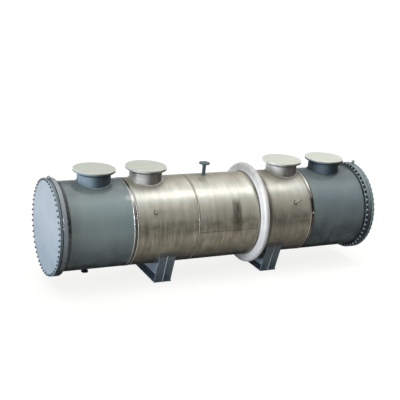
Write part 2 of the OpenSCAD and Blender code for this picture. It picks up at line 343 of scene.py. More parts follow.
@dataclass(frozen=True)
class EdgeWornPaint(SatinPaint):
    """Satin paint on cut plate with edges of their own colour; pale edges are rubbed and also paint the
    highlight they catch.

    Attributes:
        edge: colour of the edges.
        faces: axis that the plate's broad faces look along.
        worn: how far the edges' colour comes and goes.
        edge_film: where given, colour of the lower edges: dust, and painted shade.
    """

    edge: str = "#E4EAEC"
    faces: Axis = Axis.X
    worn: float = 0.4
    edge_film: str | None = None

    def wire(self, on: Surface) -> None:
        """Adds the edges' own colour over the paint, on all faces that aren't broad ones.

        Args:
            on: surface that gets the look.
        """
        super().wire(on)
        normal = add_node(on.tree, "ShaderNodeTexCoord")["Normal"]
        part = add_node(on.tree, "ShaderNodeSeparateXYZ", {0: normal})[self.faces.value]
        facing = add_node(on.tree, "ShaderNodeMath", {0: part}, operation="ABSOLUTE")[0]
        is_edge = add_node(on.tree, "ShaderNodeMath", {0: facing, 1: 0.5}, operation="LESS_THAN")[0]
        colours = {0: on.fade(Axis.Z, self.clean_z, self.film_z), 6: linear(self.edge),
                   7: linear(self.edge_film or self.edge)}
        edge = add_node(on.tree, "ShaderNodeMix", colours, data_type="RGBA")[2]
        on.lay(edge, product(on.tree, [is_edge, on.mottle((30, 30, 60), 1 - self.worn, 1.0)]))


@dataclass(frozen=True)
class RolledStainless(Finish):
    """Stainless plate, rolled and ground around the shell. It gives streaks along the girth and a warm sheen.

    Attributes:
        bright: plate that rain and cloths keep clean, on the upper side.
        dull: plate at the height of the axis, under a brown film and darker as painted shade.
        under: the same where the film and the painted shade are darkest, on the underside.
        bright_z: height above which the plate is clean.
        dull_z: height below which the film is whole.
        under_z: height below which the film is thickest.
        seams: stations of the round welds, which leave a heat tint.
        tint: colour of the heat tint.
        stain: where given, the low and high corners of an old stain.
        shade: where given, station and reach of the painted shadow in the corner beside the bellows.
        metallic: share of the surface that is bare metal.
        rough: middle value of the roughness.
    """

    bright: str = "#C1BDAA"
    dull: str = "#9E967F"
    under: str = "#453E33"
    bright_z: float = 1.27
    dull_z: float = 0.92
    under_z: float = 0.34
    seams: tuple[float, ...] = ()
    tint: str = "#4A4238"
    stain: tuple[Spot, Spot] | None = None
    shade: tuple[float, float] | None = None
    metallic: float = 0.5
    rough: float = 0.36

    def wire(self, on: Surface) -> None:
        """Lays films with painted shade, a painted highlight tint, painted reflections, streaks and stains
        over the bare plate.

        Args:
            on: surface that gets the look.
        """
        on.fix({"Base Color": linear(self.dull)})
        # From the top down the plate darkens: a brown film, and painted shade of the lower side
        ends = {0: on.fade(Axis.Z, self.dull_z, self.bright_z), 1: on.mottle((90, 500, 260), -0.2, 0.2)}
        on.lay(self.bright, add_node(on.tree, "ShaderNodeMath", ends, operation="ADD", use_clamp=True)[0])
        low = on.patch((70, 420, 260), 0.6, 1.0, (Axis.Z, self.dull_z - 0.15, self.under_z))
        on.lay(self.under, low)
        # The crown is darker, and a neutral band on the shoulders is a painted highlight tint that whitens
        # the overhead lamp's highlight
        on.lay(self.dull, on.patch((160, 200, 160), 0.2, 0.55, (Axis.Z, 1.5, 1.64)))
        on.lay("#BABDB7", product(on.tree, [on.fade(Axis.Z, 0.16, 0.05, 1.49), 0.55]))
        # Fine and broad grinding marks, and slow blotches
        streaks = [on.mottle((11, 460, 460), 0.91, 1.07, detail=5),
                   on.mottle((88, 460, 322), 0.86, 1.09, detail=5),
                   on.mottle((240, 330, 240), 0.88, 1.08, detail=4)]
        on.lay(product(on.tree, streaks), 1.0, "MULTIPLY")
        # Hand and sling marks, then two painted reflections: a dark band at the height of the axis, and brown
        # smears below it
        rubbed = (Axis.Z, 0.4, 0.12, self.dull_z - 0.03)
        on.lay("#38342C", on.patch((26, 420, 330), 0.0, 0.42, rubbed, detail=4, spread=0.13))
        on.lay("#38342C", on.patch((150, 600, 90), 0.22, 0.66, (Axis.Z, 0.17, 0.03, self.dull_z + 0.09)))
        on.lay("#5E4A33", on.patch((170, 600, 150), -0.35, 0.6, (Axis.Z, 0.42, 0.12, self.dull_z - 0.38)))
        for station in self.seams:
            on.lay(self.tint, on.patch((18, 140, 140), 0.5, 1.0, (Axis.X, 24 * MM, 8 * MM, station)))
        if self.stain:
            fades = [(axis, (top - foot) / 2, 0.3 * (top - foot), (foot + top) / 2)
                     for axis, foot, top in zip(Axis, *self.stain)]
            on.lay("#3E3827", on.patch((26, 260, 140), 0.5, 0.9, *fades))
        # Painted shadow that the bellows' wave throws on the course beside it
        if self.shade:
            station, reach = self.shade
            on.lay("#2C2822", on.patch((40, 200, 200), 0.6, 0.95, (Axis.X, reach, 0.45 * reach, station)))
        on.link("Roughness", on.mottle((22, 460, 460), self.rough - 0.06, self.rough + 0.07))
        # Grinding marks are under 1 mm wide; drawn at the streaks' width so that they show
        on.bump(on.mottle((11, 460, 460), 0.0, 1.0, detail=5), 0.05, 0.5 * MM)
        # The film on the underside is partly soiling and partly painted shade, so less bare metal shows
        # through it
        on.vary("Metallic", low, -0.85 * self.metallic, self.metallic)
        # The underside is painted near-black as shade
        on.soil_belly()


@dataclass(frozen=True)
class PlainMetal(Finish):
    """Small or evenly finished metal, such as pickled sheet, weld metal, bolts and blank plates.

    Attributes:
        colour: the metal's main colour.
        mark: colour of its darker spots.
        spot_mm: size of the spots.
        metallic: share of the surface that is bare metal.
        rough: middle value of the roughness.
    """

    colour: str
    mark: str
    spot_mm: Spot
    metallic: float
    rough: float

    def wire(self, on: Surface) -> None:
        """Lays spots of the second colour over the first, with the same spots in gloss and relief.

        Args:
            on: surface that gets the look.
        """
        on.fix({"Base Color": linear(self.colour), "Metallic": self.metallic})
        on.lay(self.mark, on.mottle(self.spot_mm, 0.0, 0.6, detail=4))
        on.lay(on.mottle([6 * size for size in self.spot_mm], 0.92, 1.06), 1.0, "MULTIPLY")
        on.link("Roughness", on.mottle(self.spot_mm, self.rough - 0.06, self.rough + 0.08))
        on.bump(on.mottle([0.4 * size for size in self.spot_mm], 0.0, 1.0), 0.15, 0.2 * MM)


@dataclass(frozen=True)
class BellowsSheet(PlainMetal):
    """Pickled sheet of the bellows. Its crown is darker, and its roots are dark with the welds' heat tint and
    painted shade.

    Attributes:
        middle: station of the bellows' middle.
    """

    middle: float = 0.0

    def wire(self, on: Surface) -> None:
        """Adds the darker crown and the dark roots, heat tint and painted shade, over the sheet.

        Args:
            on: surface that gets the look.
        """
        super().wire(on)
        on.lay("#8F8C84", on.patch((90, 90, 90), 0.5, 0.8, (Axis.Z, 1.45, 1.78)))
        # Dark roots: the welds' heat tint, and painted shade where the wave meets the shell
        on.lay("#35312B", on.patch((40, 160, 160), 0.75, 1.0, (Axis.X, 54 * MM, 62 * MM, self.middle)))


@dataclass(frozen=True)
class PipeWeather(Finish):
    """Painted shade on an upright pipe: on its lee side, away from the light from the left, and under its
    flange.

    Attributes:
        soot: colour of the painted shade on the lee side.
        dirt: colour of the painted shade under the flange.
        station: where the pipe's axis stands.
        brim: height of the underside of the pipe's flange.
    """

    soot: str = "#49535A"
    dirt: str = "#1F2426"
    station: float = 0.0
    brim: float = 0.0

    def at(self, word: str, station: float, brim: float) -> "PipeWeather":
        """Gives the finish of one pipe, with the painted shade in that pipe's own places."""
        return replace(self, name=f"{word}_{self.name}", station=station, brim=brim)

    def wire(self, on: Surface) -> None:
        """Adds the painted shade of the lee side and under the flange over the pipe's own finish.

        Args:
            on: surface that gets the look.
        """
        super().wire(on)
        # Painted shade on the side away from the light, and under the flange
        on.lay(self.soot, on.patch((90, 90, 200), 0.8, 1.0, (Axis.X, self.station - 150 * MM, self.station)))
        on.lay(self.dirt, on.patch((50, 50, 30), 0.6, 0.95, (Axis.Z, 34 * MM, 10 * MM, self.brim - 18 * MM)))


@dataclass(frozen=True)
class WeatheredPaint(PipeWeather, SatinPaint):
    """Satin paint on an upright pipe, with painted shade."""


@dataclass(frozen=True)
class WeatheredPipe(PipeWeather, PlainMetal):
    """Ground stainless pipe that stands upright, with painted shade."""


# Grey-green two-pack paint on carbon steel: a calm satin body colour with bluish clouds
CHANNEL_PAINT = SatinPaint("grey_green_epoxy_paint", "channel_paint", "#8F9C95", "#849391", "#5D6763",
                           streak=0.03, coat=0.8, belly=True)
# The far channel carries more dust, so its colour is duller; its lower half is darker with dust and painted
# shade
DUSTY_PAINT = SatinPaint("dusty_epoxy_paint", "channel_paint", "#7A8683", "#6F7B7E", "#444B48",
                         clean_z=1.4, film_z=0.6, streak=0.03, belly=True)
# Pipe in the same paint, where the turning marks run around the pipe; the far one is painted darker, as shade
PIPE_PAINT = WeatheredPaint("blue_grey_epoxy_paint", "channel_paint", "#9DADB3", "#92A2A9", "#7B8990",
                            clean_z=1.9, film_z=1.6, streak_mm=(300.0, 300.0, 9.0), streak=0.2, coat=0.0,
                            rough=0.55)
DUSTY_PIPE = replace(PIPE_PAINT, name="dusty_blue_grey_paint", colour="#7A8A91", cloud="#6F7E86",
                     film="#5B676C", soot="#3B4447")
# The same paint, pale on top of a weld bead as a painted highlight along the bead
PIPE_WELD = replace(PIPE_PAINT, name="dusty_weld_paint", colour="#9EA9AB", cloud="#8E999C", film="#8E999C")
# Pale blue-grey paint on a machined plate: smooth, clean and light
COVER_PAINT = EdgeWornPaint("pale_blue_grey_paint", "cover_paint", "#9FABAF", "#96A2A8", "#8F9BA0",
                            streak_mm=(200.0, 240.0, 240.0), streak=0.05, rough=0.42, edge="#6E7A79",
                            worn=0.0, edge_film="#3A4140")
# The flange rings are handled a lot: the near one is paler and greyer; the far one is painted near-black, for
# dust and painted shade
RING_PAINT = replace(CHANNEL_PAINT, name="worn_flange_paint", colour="#979D9C", cloud="#8B9394",
                     film="#434948")
DUSTY_RING = EdgeWornPaint("dusty_flange_paint", "channel_paint", "#1E2324", "#181C1D", "#121616",
                           clean_z=1.5, film_z=0.8, coat=0.1, edge="#7A8683", worn=0.0, edge_film="#262B2A")
# The vent's paint has chalked and gone dark
VENT_PAINT = SatinPaint("chalked_grey_green_paint", "channel_paint", "#65716E", "#586365", "#4A5350",
                        coat=0.05)
# Dark blue-grey paint on cut plate, rubbed at the edges
SADDLE_PAINT = SatinPaint("dark_blue_grey_paint", "saddle_paint", "#717E82", "#69777D", "#606C71",
                          clean_z=0.35, film_z=0.02, streak_mm=(60.0, 60.0, 200.0), streak=0.14)
# The web's paint is a paler copy of the saddle paint: painted light on its side that faces the light from the
# left
WEB_PAINT = EdgeWornPaint("rubbed_blue_grey_paint", "saddle_paint", "#AAB6BB", "#9EADB5", "#8D999F",
                          clean_z=0.35, film_z=0.02, streak_mm=(60.0, 60.0, 200.0), streak=0.14)
# The ribs take the saddle paint; their pale edges are rubbed and also paint the highlight that they catch
RIB_PAINT = replace(WEB_PAINT, name="rubbed_rib_paint", colour="#717E82", cloud="#69777D", film="#606C71",
                    faces=Axis.Y, edge="#9AA6AC")
# Thin grey primer on the plates under the shell, which nobody painted over
PRIMER = SatinPaint("weathered_grey_primer", "saddle_paint", "#85837A", "#76746B", "#4A4842", clean_z=0.62,
                    film_z=0.26, coat=0.0, rough=0.55)
# Bare stainless plate of the shell; the far course is darker, with dust and painted shade of the bellows
COURSE_PLATE = RolledStainless("rolled_stainless_plate", "stainless")
DUSTY_COURSE = replace(COURSE_PLATE, bright="#BAB6A3", dull="#89816E", under="#3A332A")
# Turned rim of a tube sheet: darker and glossier than plate, with brown heat marks beside its welds
SHEET_RIM = replace(COURSE_PLATE, bright="#97928A", dull="#4C4841", under="#2E2620", tint="#2F2A25",
                    metallic=0.9, rough=0.25)
# The far tube sheet is painted near-white on top as a painted highlight, and dark from there down
BRIGHT_RIM = replace(SHEET_RIM, bright="#E6E1D6", dull="#35312C", bright_z=1.4, dull_z=1.28, rough=0.32)
# Pickled stainless sheet: pale, matte and slightly lavender, with faint mottling
PICKLED_SHEET = BellowsSheet("pickled_stainless_sheet", "bellows", "#DDDAD2", "#D0CDC6",
                             (34.0, 34.0, 34.0), 0.12, 0.5)
# Pale plate that closes the nozzles: smooth with straight rolling marks along its length
BLANK_PLATE = PlainMetal("pale_rolled_plate", "blank", "#CDCEBE", "#C1C2B1", (420.0, 13.0, 13.0), 0.15, 0.42)
# Ground stainless on pipes: pale, with marks around the pipe and brown painted shade on the lee side
GROUND_PIPE = WeatheredPipe("ground_stainless_pipe", "stainless", "#DAD8D0", "#BDBBB2",
                            (260.0, 260.0, 10.0), 0.2, 0.4, soot="#554F45", dirt="#2A2823")
# Small turned pieces: brighter than plate
TURNED_STAINLESS = PlainMetal("turned_stainless", "stainless", "#C9C8C0", "#9C998E",
                              (14.0, 14.0, 14.0), 0.8, 0.26)
# Machined fitting: pale from the tool, so it stands out from the plate
FITTING_STEEL = PlainMetal("machined_stainless_fitting", "stainless", "#DDDACF", "#A5A193",
                           (14.0, 14.0, 14.0), 0.9, 0.24)
# Weld metal on stainless: rippled, with straw and brown heat colours
STAINLESS_WELD = PlainMetal("stainless_weld_metal", "stainless", "#BDB7A6", "#8A7E68",
                            (22.0, 60.0, 60.0), 0.6, 0.36)
# Brushed weld around a pipe's foot: almost white where the brush went, which also paints the fillet's
# highlight
BRUSHED_WELD = PlainMetal("brushed_weld_metal", "stainless", "#DAD7CB", "#A39C8A",
                          (16.0, 16.0, 16.0), 0.5, 0.34)
# Weld that was ground flush and left dark
FLUSH_WELD = PlainMetal("flush_ground_weld", "stainless", "#3F3A31", "#2C2821", (60.0, 12.0, 12.0), 0.5, 0.45)
# Phosphated bolt steel: dark, dry grey with an oily gloss in places
BOLT_STEEL = PlainMetal("phosphated_bolt_steel", "channel_paint", "#636B6E", "#3F4648",
                        (12.0, 12.0, 12.0), 0.3, 0.48)
# The far cover's bolts are pale blue-grey as painted light, for nuts lit from the left, so each nut shows on
# the dark flange
ZINC_BOLTS = PlainMetal("zinc_plated_bolt_steel", "channel_paint", "#AAB4B9", "#7A8387",
                        (12.0, 12.0, 12.0), 0.3, 0.45)
# Compressed fibre: black, dry and fuzzy at its cut edge
GASKET_FIBRE = PlainMetal("compressed_gasket_fibre", "gasket", "#232423", "#151616",
                          (5.0, 5.0, 5.0), 0.0, 0.8)


def add_object(name: str, data: bpy.types.ID) -> bpy.types.Object:
    """Puts a mesh, lamp or camera into the scene as an object at the origin.

    Args:
        name: the object's name.
        data: what the object holds.

    Returns:
        The object.
    """
    made = bpy.data.objects.new(name, data)
    bpy.context.scene.collection.objects.link(made)
    return made


def keep_piece(name: str, mesh: Mesh, finish: Finish, stands_for: Sequence[str] = (),
               smooth_below: float = 35.0) -> None:
    """Puts a finished mesh into the scene as a piece of the part.

    Args:
        name: the piece's name.
        mesh: its mesh, in place.
        finish: finish of the whole piece.
        stands_for: CAD nodes that the piece replaces.
        smooth_below: angle in degrees under which faces shade into each other.
    """
    mesh.name = name
    mesh.shade_smooth()
    mesh.set_sharp_from_angle(angle=math.radians(smooth_below))
    mesh.materials.clear()
    mesh.materials.append(finish.material())
    piece = add_object(name, mesh)
    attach(piece, BODY)
    for node in stands_for:
        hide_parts(node)
    mesh.calc_loop_triangles()
    LOG.info("%s: %d triangles", name, len(mesh.loop_triangles))


def dress_node(node: str, finish: Finish) -> None:
    """Gives a CAD node its finish and leaves its shape alone.

    Args:
        node: the node's name.
        finish: finish of the whole node.
    """
    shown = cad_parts[node]
    for number in range(len(shown.data.materials)):
        shown.data.materials[number] = finish.material()
    LOG.info("%s: dressed in %s", node, finish.name)


def middle_x(node: str) -> float:
    """Gives the station of a node's middle."""
    low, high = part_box(node)
    return (low.x + high.x) / 2


def round_angles(count: int) -> np.ndarray:
    """Gives even angles once around, in radians."""
    return np.linspace(0, 2 * math.pi, count, endpoint=False)


def turned(profile: Sequence[Point], sides: int, foot: Spot, direction: Spot) -> Mesh:
    """Turns an outline about an axis, as a lathe would.

    Args:
        profile: radius and height of the section's corners, anticlockwise with height upwards.
        sides: number of sides of the round.
        foot: point where the axis has height 0.
        direction: which way the height runs.

    Returns:
        A closed mesh in place, with its faces outwards.
    """
    place = Matrix.Translation(foot) @ Vector(direction).to_track_quat("Z", "Y").to_matrix().to_4x4()
    angles = [2 * math.pi * step / sides for step in range(sides)]
    verts: list[Vector] = []
    rings: list[list[int]] = []
    for radius, height in profile:
        spots = angles if radius > 0 else angles[:1]
        first = len(verts)
        verts += [place @ Vector((radius * math.cos(a), radius * math.sin(a), height)) for a in spots]
        rings.append([first + (step if radius > 0 else 0) for step in range(sides)])
    faces = []
    for low, high in zip(rings, rings[1:] + rings[:1]):
        for step in range(sides):
            after = (step + 1) % sides
            face = list(dict.fromkeys([low[step], low[after], high[after], high[step]]))
            if len(face) > 2:
                faces.append(face)
    mesh = bpy.data.meshes.new("turned")
    mesh.from_pydata(verts, [], faces)
    return mesh


def disc(radius: float, low: float, high: float, chamfer: float, bore: float = 0.0) -> list[Point]:
    """Gives the section of a round plate with broken rim edges.

    Args:
        radius: radius of the rim.
        low: height of the lower face.
        high: height of the upper face.
        chamfer: width of the broken edges.
        bore: radius of the hole, or 0 for none.

    Returns:
        Corners of the section for the lathe.
    """
    return [(bore, low), (radius - chamfer, low), (radius, low + chamfer),
            (radius, high - chamfer), (radius - chamfer, high), (bore, high)]


def turn_plate(node: str, finish: Finish, sides: int, chamfer: float, bore: float = 0.0) -> None:
    """Turns a flat round plate in the place of its node.

    Args:
        node: CAD node that the plate stands for.
        finish: finish of the plate.
        sides: number of sides of the round.
        chamfer: width of the broken edges.
        bore: radius of the hole, or 0 for none.
    """
    low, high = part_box(node)
    section = disc((high.x - low.x) / 2, low.z, high.z, chamfer, bore)
    keep_piece(f"{node}_plate", turned(section, sides, (middle_x(node), 0, 0), (0, 0, 1)), finish, [node])


def path_mesh(paths: Sequence[Path]) -> Mesh:
    """Makes a mesh of bare edges for a node tree to follow.

    Args:
        paths: points of each path, and whether it closes on itself.

    Returns:
        The mesh of edges.
    """
    verts: list[np.ndarray] = []
    edges: list[tuple[int, int]] = []
    for points, closed in paths:
        first, count = len(verts), len(points)
        verts += list(points)
        edges += [(first + i, first + (i + 1) % count) for i in range(count if closed else count - 1)]
    mesh = bpy.data.meshes.new("path")
    mesh.from_pydata(verts, edges, [])
    return mesh


def plain_mesh(holder: bpy.types.Object) -> Mesh:
    """Makes a plain mesh of what an object's modifiers give, and removes the modifiers.

    Args:
        holder: object with the modifiers.

    Returns:
        The result as a mesh of its own.
    """
    depsgraph = bpy.context.evaluated_depsgraph_get()
    result = bpy.data.meshes.new_from_object(holder.evaluated_get(depsgraph), depsgraph=depsgraph)
    holder.modifiers.clear()
    return result


class ShapeTree:
    """Geometry node tree with named inputs, whose result is kept as a plain mesh.

    Attributes:
        tree: the node tree.
        given: its input sockets by name.
    """

    def __init__(self, name: str, defaults: dict[str, object]) -> None:
        """Starts the tree.

        Args:
            name: the tree's name.
            defaults: default of each named input.
        """
        kinds = {int: "NodeSocketInt", float: "NodeSocketFloat", tuple: "NodeSocketVector"}
        self.tree = bpy.data.node_groups.new(name, "GeometryNodeTree")
        sockets = self.tree.interface
        sockets.new_socket("Geometry", in_out="INPUT", socket_type="NodeSocketGeometry")
        for label, default in defaults.items():
            socket = sockets.new_socket(label, in_out="INPUT", socket_type=kinds[type(default)])
            socket.default_value = default
        sockets.new_socket("Finish", in_out="INPUT", socket_type="NodeSocketMaterial")
        sockets.new_socket("Geometry", in_out="OUTPUT", socket_type="NodeSocketGeometry")
        self.given = {socket.name: socket for socket in add_node(self.tree, "NodeGroupInput") if socket.name}

    def end(self, shape: Socket) -> None:
        """Realizes the instances, sets the material and gives the result out."""
        real = add_node(self.tree, "GeometryNodeRealizeInstances", {0: shape})[0]
        dressed = add_node(self.tree, "GeometryNodeSetMaterial", {0: real, 2: self.given["Finish"]})[0]
        add_node(self.tree, "NodeGroupOutput", {0: dressed})

    def run(self, mesh: Mesh, values: dict[str, object]) -> Mesh:
        """Runs the tree over a mesh.

        Args:
            mesh: mesh that the tree starts from.
            values: value of each named input.

        Returns:
            The tree's result.
        """
        holder = add_object("holder", mesh)
        modifier = holder.modifiers.new("shape", "NODES")
        modifier.node_group = self.tree
        for item in self.tree.interface.items_tree:
            if item.in_out == "INPUT" and item.name in values:
                modifier[item.identifier] = values[item.name]
        result = plain_mesh(holder)
        bpy.data.objects.remove(holder)
        return result


def weld_tree() -> ShapeTree:
    """Builds the node tree of a weld bead, which lays a rippled round bead along edges.

    Returns:
        The tree.
    """
    bead = ShapeTree("weld_bead", {"Bead Radius": 7 * MM, "Ripple Pitch": 14 * MM, "Ripple Depth": 0.14,
                                   "Seed": SEED})
    tree, given = bead.tree, bead.given
    curve = add_node(tree, "GeometryNodeMeshToCurve", {0: given["Geometry"]})[0]
    step = add_node(tree, "ShaderNodeMath", {0: given["Ripple Pitch"], 1: 3.0}, operation="DIVIDE")[0]
    even = add_node(tree, "GeometryNodeResampleCurve", {0: curve, 3: step}, mode="LENGTH")[0]
    run = add_node(tree, "GeometryNodeSplineParameter")["Length"]
    turns = add_node(tree, "ShaderNodeMath", {0: run, 1: given["Ripple Pitch"]}, operation="DIVIDE")[0]
    wave = add_node(tree, "ShaderNodeMath", {0: product(tree, [turns, 2 * math.pi])}, operation="SINE")[0]
    # The welder's hand is never quite even, so each stretch also varies by chance
    reach = {2: -0.6, 3: 0.6, 8: given["Seed"]}
    chance = add_node(tree, "FunctionNodeRandomValue", reach, data_type="FLOAT")[1]
    uneven = add_node(tree, "ShaderNodeMath", {0: wave, 1: chance}, operation="ADD")[0]
    ripple = {0: uneven, 1: given["Ripple Depth"], 2: 1.0}
    depth = add_node(tree, "ShaderNodeMath", ripple, operation="MULTIPLY_ADD")[0]
    section = add_node(tree, "GeometryNodeCurvePrimitiveCircle", {0: 7, 4: given["Bead Radius"]})[0]
    bead.end(add_node(tree, "GeometryNodeCurveToMesh", {0: even, 1: section, 2: depth, 3: True})[0])
    return bead


def stud_tree() -> ShapeTree:
    """Builds the node tree of a ring of studs, each with a washer and a nut at both ends.

    Returns:
        The tree. Its ring lies around the local Z axis, and its Turn and Centre put it in place.
    """
    lengths = ("Circle Radius", "Washer Radius", "Washer Height", "Washer At", "Nut Radius", "Nut Height",
               "Nut At", "Stud Radius", "Stud Length", "Clocking")
    nowhere = (0.0, 0.0, 0.0)
    ring = ShapeTree("stud_ring", {"Count": 4, **dict.fromkeys(lengths, 0.01), "Turn": nowhere,
                                   "Centre": nowhere, "Seed": SEED})
    tree, given = ring.tree, ring.given
    rounds = (("Nut", "Height", 6, 5), ("Washer", "Height", 16, 1), ("Stud", "Length", 10, 1))
    nut, washer, stud = (
        add_node(tree, "GeometryNodeMeshCylinder", {"Vertices": sides, "Side Segments": rows,
                                                    "Radius": given[f"{part} Radius"],
                                                    "Depth": given[f"{part} {depth}"]})
        for part, depth, sides, rows in rounds)
    place = add_node(tree, "GeometryNodeInputPosition")[0]
    narrowed = {0: place, 1: (0.86, 0.86, 1.0)}
    drawn_in = add_node(tree, "ShaderNodeVectorMath", narrowed, operation="MULTIPLY")[0]
    chamfered = add_node(tree, "GeometryNodeSetPosition", {0: nut["Mesh"], 1: nut["Top"], 2: drawn_in})[0]
    parts = []
    for piece, height in ((washer["Mesh"], given["Washer At"]), (chamfered, given["Nut At"])):
        lift = add_node(tree, "ShaderNodeCombineXYZ", {2: height})[0]
        upper = add_node(tree, "GeometryNodeTransform", {0: piece, 1: lift})[0]
        parts += [upper, add_node(tree, "GeometryNodeTransform", {0: upper, 2: (math.pi, 0.0, 0.0)})[0]]
    bolt = add_node(tree, "GeometryNodeJoinGeometry")[0]
    for part in [*parts, stud["Mesh"]]:
        tree.links.new(part, bolt.node.inputs[0])
    circle = add_node(tree, "GeometryNodeMeshCircle", {0: given["Count"], 1: given["Circle Radius"]})[0]
    # Nuts stop wherever they are tight, so each stud is turned by chance
    chance = {2: 0.0, 3: math.pi / 3, 8: given["Seed"]}
    clock = add_node(tree, "FunctionNodeRandomValue", chance, data_type="FLOAT")[1]
    turn = add_node(tree, "ShaderNodeCombineXYZ", {2: clock})[0]
    studs = add_node(tree, "GeometryNodeInstanceOnPoints", {0: circle, 2: bolt, 5: turn})[0]
    about = add_node(tree, "ShaderNodeCombineXYZ", {2: given["Clocking"]})[0]
    clocked = add_node(tree, "GeometryNodeTransform", {0: studs, 2: about})[0]
    ring.end(add_node(tree, "GeometryNodeTransform", {0: clocked, 1: given["Centre"], 2: given["Turn"]})[0])
    return ring


@dataclass(frozen=True)
class StudRing:
    """Ring of studs, each with a washer and a nut at both ends.

    Attributes:
        count: number of studs.
        circle: radius of their circle.
        stud: radius of a stud.
        nut: radius of a nut, over its corners.
        nut_height: height of a nut.
        washer: height of a washer.
    """

    count: int
    circle: float
    stud: float
    nut: float
    nut_height: float
    washer: float = 2 * MM

    def values(self, grip: float) -> dict[str, object]:
        """Gives the sizes for the node tree.

        Args:
            grip: thickness of what the studs hold.

        Returns:
            Value of each of the tree's inputs that the sizes set.
        """
        washer_at = (grip + self.washer) / 2
        nut_at = washer_at + (self.washer + self.nut_height) / 2
        return {"Count": self.count, "Circle Radius": self.circle, "Washer Radius": 1.12 * self.nut,
                "Washer Height": self.washer, "Washer At": washer_at, "Nut Radius": self.nut,
                "Nut Height": self.nut_height, "Nut At": nut_at, "Stud Radius": self.stud,
                "Stud Length": 2 * nut_at + 1.5 * self.nut_height, "Clocking": math.pi / self.count}


@dataclass(frozen=True)
class Vessel:
    """Main sizes that several sub-assemblies share, in metres.

    Attributes:
        axis_z: height of the vessel's axis.
        radius: outer radius of the shell and the channels.
        weld: node tree of the weld beads.
        studs: node tree of the stud rings.
        wall: thickness of the plate of the shell and the channels.
        nozzle_bore: radius of the large nozzles' bores.
        vent_bore: radius of the vent's bore.
        drain_bore: radius of the drain's bore.
        coupling_angle: angle of the instrument couplings above the horizontal on the front, in degrees.
    """

    axis_z: float
    radius: float
    weld: ShapeTree
    studs: ShapeTree
    wall: float = 10 * MM
    nozzle_bore: float = 255 * MM
    vent_bore: float = 25 * MM
    drain_bore: float = 19 * MM
    coupling_angle: float = 28.0

    @classmethod
    def from_frame(cls) -> "Vessel":
        """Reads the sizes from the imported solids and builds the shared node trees."""
        low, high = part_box("middle_shell_course")
        return cls((low.z + high.z) / 2, (high.z - low.z) / 2, weld_tree(), stud_tree())

    @property
    def foot(self) -> Vector:
        """Point of the axis in the middle of the vessel."""
        return Vector((0, 0, self.axis_z))

    def line(self, x: Spot | float, angle: Spot | float, radius: float) -> np.ndarray:
        """Gives points around the axis.

        Args:
            x: their stations along the vessel.
            angle: their angles above the horizontal on the front, in degrees.
            radius: their distance from the axis.

        Returns:
            The points, one in each row.
        """
        turn = np.radians(angle)
        y, z = -radius * np.cos(turn), self.axis_z + radius * np.sin(turn)
        return np.stack(np.broadcast_arrays(x, y, z), axis=-1)

    def outward(self, angle: float) -> Vector:
        """Gives the way straight out from the axis, at an angle above the horizontal on the front."""
        return Vector(self.line(0, angle, self.radius)) - self.foot

    def girth(self, x: float, radius: float) -> Path:
        """Gives a closed ring around the axis for a bead to follow."""
        return self.line(x, 180 - np.degrees(round_angles(180)), radius), True

    def pipe_foot(self, x: float, pipe_r: float, offset: float) -> Path:
        """Gives the saddle-shaped line where an upright pipe meets the shell.

        Args:
            x: station of the pipe.
            pipe_r: radius of the line seen from above.
            offset: how far it lies outside the shell.

        Returns:
            Its points, and that it is closed.
        """
        turn = round_angles(120)
        y = pipe_r * np.sin(turn)
        z = self.axis_z + np.sqrt((self.radius + offset) ** 2 - y ** 2)
        return np.stack([x + pipe_r * np.cos(turn), y, z], axis=1), True

    def lay_welds(self, name: str, paths: Sequence[Path], bead_mm: float, finish: Finish) -> None:
        """Lays weld beads along paths as one piece.

        Args:
            name: the piece's name.
            paths: the paths, each with whether it is closed.
            bead_mm: radius of the beads.
            finish: finish of the weld metal.
        """
        values = {"Bead Radius": bead_mm * MM, "Ripple Pitch": 2 * bead_mm * MM, "Seed": SEED,
                  "Finish": finish.material()}
        keep_piece(name, self.weld.run(path_mesh(paths), values), finish, smooth_below=60)

    def set_studs(self, name: str, ring: StudRing, grip: float, finish: Finish, **place: object) -> None:
        """Sets a ring of studs as one piece.

        Args:
            name: the piece's name.
            ring: the ring's sizes.
            grip: thickness of what the studs hold.
            finish: finish of the studs.
            place: the tree's inputs that put the ring in place.
        """
        values = {**ring.values(grip), **place, "Finish": finish.material()}
        keep_piece(name, self.studs.run(bpy.data.meshes.new("empty"), values), finish)


